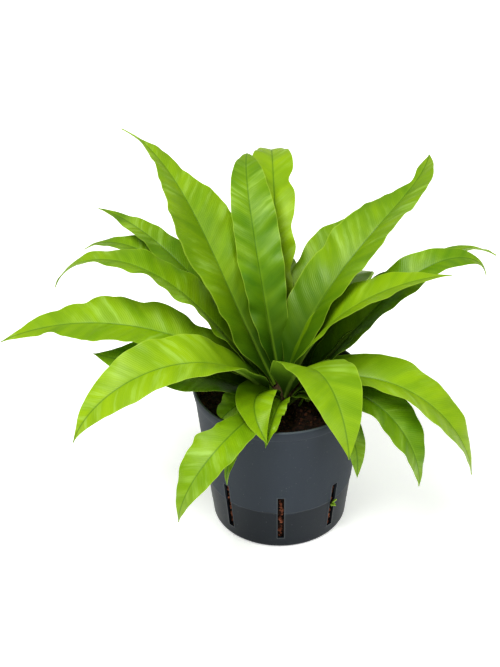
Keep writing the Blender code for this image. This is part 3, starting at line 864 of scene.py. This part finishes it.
def add_pot(finish):
    """A turned shell whose slots are holes in its grid of points, lined between the two walls."""
    slot_rows = np.concatenate([
        [SLOT_BOTTOM - 2.2, SLOT_BOTTOM - 1.1, SLOT_BOTTOM - 0.5],
        np.linspace(SLOT_BOTTOM, SLOT_TOP, 15),
        [SLOT_TOP + 0.5, SLOT_TOP + 1.1, SLOT_TOP + 2.2],
    ])
    band_rows = FOOT_BAND_HEIGHT + np.array([-1.2, -0.5, -0.15, 0.15, 0.5, 1.2])
    levels = np.unique(np.concatenate([
        [POT_FLOOR + FOOT_ROUND], slot_rows, band_rows,
        np.linspace(SLOT_TOP + 4, POT_HEIGHT - COLLAR_HEIGHT - 1, 12),
    ]))
    levels = levels[np.concatenate([[True], np.diff(levels) > 0.05])]
    rim = wall_radius(POT_HEIGHT)
    under = POT_HEIGHT - COLLAR_HEIGHT

    inside = [(1.5, POT_FLOOR), (POT_FOOT_RADIUS * 0.6, POT_FLOOR), (POT_FOOT_RADIUS - POT_WALL - 4, POT_FLOOR),
              (outer_radius(POT_FLOOR + 1) - POT_WALL - 1, POT_FLOOR + 0.9)]
    inside += [(outer_radius(z) - POT_WALL, z) for z in levels]
    rolled = np.radians(np.linspace(180, 0, 7))
    lip_middle = rim - POT_WALL / 2 + 0.25
    lip = [(rim - POT_WALL - 0.05, POT_HEIGHT - 5), (rim - POT_WALL, POT_HEIGHT - 1.2)]
    lip += [(lip_middle + 0.95 * math.cos(a), POT_HEIGHT - 0.95 + 0.95 * math.sin(a)) for a in rolled]
    collar = [(rim + COLLAR_PROUD - 0.05, POT_HEIGHT - 3), (wall_radius(under) + COLLAR_PROUD, under + 1.1),
              (wall_radius(under) + COLLAR_PROUD - 0.2, under + 0.35), (wall_radius(under) + 0.1, under)]
    outside = [(outer_radius(z), z) for z in levels[::-1]]
    foot_middle = outer_radius(FOOT_ROUND) - FOOT_ROUND
    rounded = np.radians(np.linspace(0, -90, 6))
    foot = [(foot_middle + FOOT_ROUND * math.cos(a), FOOT_ROUND + FOOT_ROUND * math.sin(a)) for a in rounded]
    bottom = [(foot_middle * 0.985, 0), (foot_middle * 0.97, 0.5), (foot_middle * 0.5, 0.5), (1.5, 0.5)]
    profile = np.array(inside + lip + collar + outside + foot + bottom)

    radius, height = profile[:, :1], profile[:, 1:]
    angles = column_angles(radius[:, 0])
    rows, columns = angles.shape
    per_slot = columns // SLOT_COUNT
    near = slot_offsets()
    aside = np.full(per_slot, 1e3)
    aside[:len(near)] = np.maximum(np.abs(near) - SLOT_WIDTH / 2, 0)
    aside[len(near):] = 20
    above = np.maximum(np.maximum(SLOT_BOTTOM - height, height - SLOT_TOP), 0)
    distance = np.hypot(np.tile(aside, SLOT_COUNT)[None], above)
    row = np.arange(rows)[:, None]
    first_outer = len(inside) + len(lip) + len(collar)
    is_outer = (row >= first_outer) & (row < first_outer + len(levels))
    raised = SLOT_LIP * np.exp(-((distance / LIP_REACH) ** 2)) * is_outer
    reach = radius + raised
    grid = np.stack([reach * np.cos(angles), reach * np.sin(angles), height * np.ones_like(angles)], -1)
    points, faces = capped(grid)

    # Cells inside a slot are left out, and strips join the outer and inner wall round the hole.
    low = int(np.argmin(np.abs(levels - SLOT_BOTTOM)))
    high = int(np.argmin(np.abs(levels - SLOT_TOP)))
    inner_row = len(np.array(inside)) - len(levels) + np.arange(low, high + 1)
    outer_row = first_outer + len(levels) - 1 - np.arange(low, high + 1)
    edge = int(np.argmin(np.abs(near + SLOT_WIDTH / 2))), int(np.argmin(np.abs(near - SLOT_WIDTH / 2)))
    hole = set()
    lining = []
    for number in range(SLOT_COUNT):
        left, right = (number * per_slot + k for k in edge)
        for wall in (inner_row, outer_row):
            for a in range(min(wall), max(wall)):
                hole.update((a, c) for c in range(left, right))
        for c in (left, right):
            for i in range(len(inner_row) - 1):
                lining.append([outer_row[i] * columns + c, outer_row[i + 1] * columns + c,
                               inner_row[i + 1] * columns + c, inner_row[i] * columns + c])
        for i in (0, -1):
            for c in range(left, right):
                lining.append([outer_row[i] * columns + c, outer_row[i] * columns + c + 1,
                               inner_row[i] * columns + c + 1, inner_row[i] * columns + c])
    cells = (rows - 1) * columns
    kept = [face for n, face in enumerate(faces[:cells]) if (n // columns, n % columns) not in hole]
    faces = kept + faces[cells:] + [[int(corner) for corner in face] for face in lining]

    wall = [np.where(is_outer, distance, 20), height * np.ones_like(angles), np.zeros_like(angles)]
    wall = np.stack(wall, -1)
    wall = np.vstack([wall.reshape(-1, 3), [[20, POT_FLOOR, 0], [20, 0, 0]]])
    piece("pot_shell", points, faces, finish, "pot_plastic", node="pot", sharp=35, wall=wall)


# ---------------------------------------------------------------------------------------------------------
# Potting mix
# ---------------------------------------------------------------------------------------------------------

CRUMBS = 900
CHUNKS_PER_SLOT = 16


def soil_top(x, y):
    """The height of the mix: a little higher round the crown, with lumps of two sizes."""
    mound = 1.5 * np.exp(-((x - CROWN_X) ** 2 + (y - CROWN_Y) ** 2) / 18**2)
    return SOIL_HEIGHT - 0.6 + mound + 0.7 * hills(x, y, 14, 1) + 0.35 * hills(x, y, 5, 2)


def add_soil(finish):
    """Rings of points over the lumpy top, down the inside of the pot and across its floor."""
    turns = np.linspace(0, 2 * np.pi, 160, endpoint=False)[None]
    edge = wall_radius(SOIL_HEIGHT) - POT_WALL - 0.4
    radius = np.linspace(1, edge, 60)[:, None]
    x, y = radius * np.cos(turns), radius * np.sin(turns)
    top = np.stack([x, y, soil_top(x, y)], -1)
    heights = np.array([100, 80, 62, 55, 48, 41, 34, 27, 20, 13, 7, 4.5])[:, None]
    radius = outer_radius(heights) - POT_WALL - 1.3 + 0.5 * np.sin(heights / 2.3 + 9 * turns)
    side = np.stack([radius * np.cos(turns), radius * np.sin(turns), heights * np.ones_like(turns)], -1)
    radius = np.array([44, 20, 1])[:, None]
    floor = np.stack([radius * np.cos(turns), radius * np.sin(turns), np.full((3, 160), POT_FLOOR + 0.4)], -1)
    points, faces = capped(np.concatenate([top, side, floor]))
    tint = np.zeros((len(points), 3))
    piece("potting_mix", points, faces, finish, "potting_mix", node="substrate", sharp=80, tint=tint)


def lumps(centres, sizes, seed):
    """Crumbs with their own sizes, turns and dents: a small globe of four rings, stretched and noised."""
    rng = np.random.default_rng(seed)
    count = len(centres)
    climb = np.radians([-52, -18, 18, 52])[:, None]
    turns = np.linspace(0, 2 * np.pi, 7, endpoint=False)[None]
    globe = [np.cos(climb) * np.cos(turns), np.cos(climb) * np.sin(turns), np.sin(climb) * np.ones(7)]
    globe = np.stack(globe, -1)
    shape = globe[None] * rng.uniform(0.55, 1.1, (count, 1, 1, 3))
    shape = shape * rng.uniform(0.72, 1.15, (count, 4, 7, 1))
    frame_of, _ = np.linalg.qr(rng.normal(size=(count, 3, 3)))
    shape = np.einsum("nrcj,nkj->nrck", shape, frame_of)
    points, faces = capped(centres[:, None, None] + shape * sizes[:, None, None, None])
    own = np.repeat(rng.uniform(0, 1, count) ** 1.5, 30)
    return points, faces, np.stack([own, own, own], -1)


def add_crumbs(finish):
    """Loose crumbs on top of the mix, inside the rim."""
    rng = np.random.default_rng(7)
    edge = wall_radius(SOIL_HEIGHT) - POT_WALL - 2.2
    radius = edge * np.sqrt(rng.uniform(0.02, 1, CRUMBS))
    turn = rng.uniform(0, 2 * np.pi, CRUMBS)
    x, y = radius * np.cos(turn), radius * np.sin(turn)
    sizes = 0.5 + 1.5 * rng.uniform(0, 1, CRUMBS) ** 2.2
    centres = np.stack([x, y, soil_top(x, y) + 0.25 * sizes], -1)
    points, faces, tint = lumps(centres, sizes, 8)
    piece("mix_crumbs", points, faces, finish, "potting_mix", sharp=45, tint=tint)


def add_chunks(finish):
    """Brown lumps of bark behind each slot, just inside the pot's wall."""
    rng = np.random.default_rng(11)
    count = SLOT_COUNT * CHUNKS_PER_SLOT
    height = np.tile(np.linspace(SLOT_BOTTOM + 1, SLOT_TOP - 1, CHUNKS_PER_SLOT), SLOT_COUNT)
    height = height + rng.uniform(-1.2, 1.2, count)
    sizes = rng.uniform(1.3, 2.2, count)
    turn = np.radians(FRONT + np.repeat(np.arange(SLOT_COUNT), CHUNKS_PER_SLOT) * 360 / SLOT_COUNT)
    aside = rng.uniform(-0.9, 0.9, count)
    radius = outer_radius(height) - 0.4 - sizes * 0.8 - rng.uniform(0, 1.4, count)
    x = radius * np.cos(turn) - aside * np.sin(turn)
    y = radius * np.sin(turn) + aside * np.cos(turn)
    points, faces, tint = lumps(np.stack([x, y, height], -1), sizes, 12)
    piece("slot_chunks", points, faces, finish, "potting_mix", sharp=45, tint=tint)


# ---------------------------------------------------------------------------------------------------------
# Stage
# ---------------------------------------------------------------------------------------------------------


def add_floor(finish):
    mesh = bpy.data.meshes.new("floor")
    reach = 6
    corners = [(x * reach, y * reach, -0.0003) for x, y in ((-1, -1), (1, -1), (1, 1), (-1, 1))]
    mesh.from_pydata(corners, [], [(0, 1, 2, 3)])
    mesh.materials.append(finish)
    floor = bpy.data.objects.new("floor", mesh)
    bpy.context.scene.collection.objects.link(floor)


LIGHTS_AIM = (-0.02, 0, 0.17)
LIGHT_SIZE = 1.0
KEY_PLACE = (-0.5, -0.6, 1.8)
KEY_POWER = 32
FILL_PLACE = (1.3, -0.9, 1.2)
FILL_POWER = 10
WORLD_STRENGTH = 0.45
VIEW_GAMMA = 0.85
VIEW_EXPOSURE = 0.15


def add_softbox(name, place, size, power):
    """A round area light that faces the plant."""
    data = bpy.data.lights.new(name, "AREA")
    data.shape = "DISK"
    data.size = size
    data.energy = power
    light = bpy.data.objects.new(name, data)
    light.location = place
    aim = Vector(LIGHTS_AIM) - Vector(place)
    light.rotation_mode = "QUATERNION"
    light.rotation_quaternion = aim.to_track_quat("-Z", "Y")
    bpy.context.scene.collection.objects.link(light)


def add_studio():
    world = bpy.data.worlds.new("studio")
    world.use_nodes = True
    world.node_tree.nodes["Background"].inputs["Color"].default_value = (1, 1, 1, 1)
    world.node_tree.nodes["Background"].inputs["Strength"].default_value = WORLD_STRENGTH
    bpy.context.scene.world = world
    view = bpy.context.scene.view_settings
    view.view_transform = "Standard"
    view.gamma = VIEW_GAMMA
    view.exposure = VIEW_EXPOSURE
    add_softbox("key", KEY_PLACE, LIGHT_SIZE, KEY_POWER)
    add_softbox("fill", FILL_PLACE, LIGHT_SIZE, FILL_POWER)


# ---------------------------------------------------------------------------------------------------------
# The whole plant
# ---------------------------------------------------------------------------------------------------------


# Colours, each from bright to deep to margin for a leaf, and from dark to light for the soil.
LEAF_COLOURS = ((0.29, 0.44, 0.003), (0.075, 0.19, 0.002), (0.34, 0.48, 0.05))
YOUNG_COLOURS = ((0.32, 0.5, 0.02), (0.18, 0.36, 0.01), (0.42, 0.58, 0.08))
PEAT_COLOURS = ((0.008, 0.004, 0.0025), (0.09, 0.034, 0.018))
CRUMB_COLOURS = ((0.012, 0.005, 0.003), (0.17, 0.06, 0.03))
BARK_COLOURS = ((0.1, 0.03, 0.014), (0.42, 0.15, 0.075))
PEAT_GRAIN = 260
CRUMB_GRAIN = 500
BARK_GRAIN = 400


def main():
    add_camera()
    add_studio()
    add_floor(floor_paint())

    leaf = leaf_paint("frond_leaf", *LEAF_COLOURS)
    young = leaf_paint("young_leaf", *YOUNG_COLOURS)
    for number, design in enumerate(FRONDS):
        add_frond(design, number, leaf)
    add_crown(scale_paint())
    add_crozier("crozier_front", (14, -19, SOIL_HEIGHT + 1), -20, young)
    add_crozier("crozier_right", (19, -13, SOIL_HEIGHT + 1), 15, young)
    add_sprout(young)
    add_pot(pot_paint())
    add_soil(soil_paint("peat", *PEAT_COLOURS, PEAT_GRAIN))
    add_crumbs(soil_paint("crumb", *CRUMB_COLOURS, CRUMB_GRAIN))
    add_chunks(soil_paint("bark", *BARK_COLOURS, BARK_GRAIN))


main()
